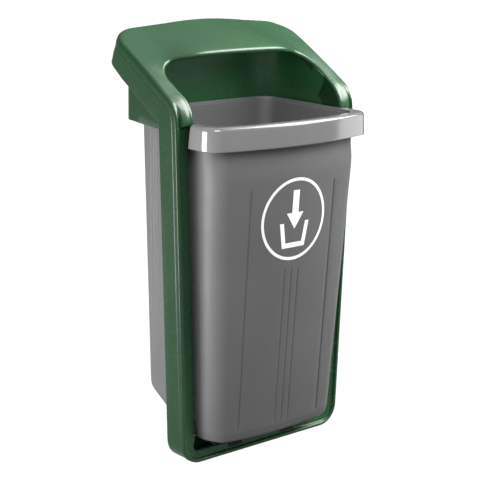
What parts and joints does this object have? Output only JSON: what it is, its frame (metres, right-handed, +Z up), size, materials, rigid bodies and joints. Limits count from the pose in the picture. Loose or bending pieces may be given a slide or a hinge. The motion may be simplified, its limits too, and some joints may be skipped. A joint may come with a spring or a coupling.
{
  "type": "litter bin",
  "caption": "Wall-hung litter bin with a hooded surround, an open mouth, a tapered container that tilts forward on pins, a key lock and a steel wall rail.",
  "frame": {"origin": "on the wall plane, midway between the two wall holes of the rail", "axes": "+Z up, +Y into the wall, so the front faces -Y, +X to the right as seen from the front"},
  "size_m": [0.4324, 0.297, 0.8055],
  "materials": {
    "green_plastic": "satin moulded plastic",
    "grey_plastic": "satin moulded plastic",
    "white_film": "printed vinyl film",
    "black_nylon": "matte",
    "black_rubber": "matte",
    "galvanised": "hot-dip galvanised",
    "zinc": "zinc plated",
    "lock_metal": "nickel plated",
    "rivet": "plain"
  },
  "bodies": {
    "surround": {"front_frame": "green_plastic", "hood_shell": "green_plastic", "frame_screws": "zinc", "pivot_pins": "zinc", "pivot_brackets": "galvanised", "bracket_screws": "zinc", "tilt_stops": "black_rubber", "back_buffers": "black_rubber", "lock_body": "lock_metal", "lock_nut": "lock_metal", "wall_rail": "galvanised", "hood_bolts": "zinc", "hood_washers": "zinc", "foot_bolts": "zinc", "foot_washers": "zinc", "foot_nuts": "zinc"},
    "tub": {"container": "grey_plastic", "label": "white_film", "pivot_cups": "black_nylon", "strike_plate": "galvanised", "strike_rivets": "rivet"},
    "lock_core": {"lock_plug": "lock_metal", "lock_cam": "zinc", "cam_screw": "zinc"}
  },
  "joints": [
    {"name": "container_tilt", "type": "hinge", "parent": "surround", "child": "tub", "pos_m": [0, -0.179, -0.318], "axis": [1, 0, 0], "range_deg": [0, 30]},
    {"name": "lock_turn", "type": "hinge", "parent": "surround", "child": "lock_core", "pos_m": [0.182, -0.178, 0.195], "axis": [1, 0, 0], "range_deg": [0, 90]}
  ]
}
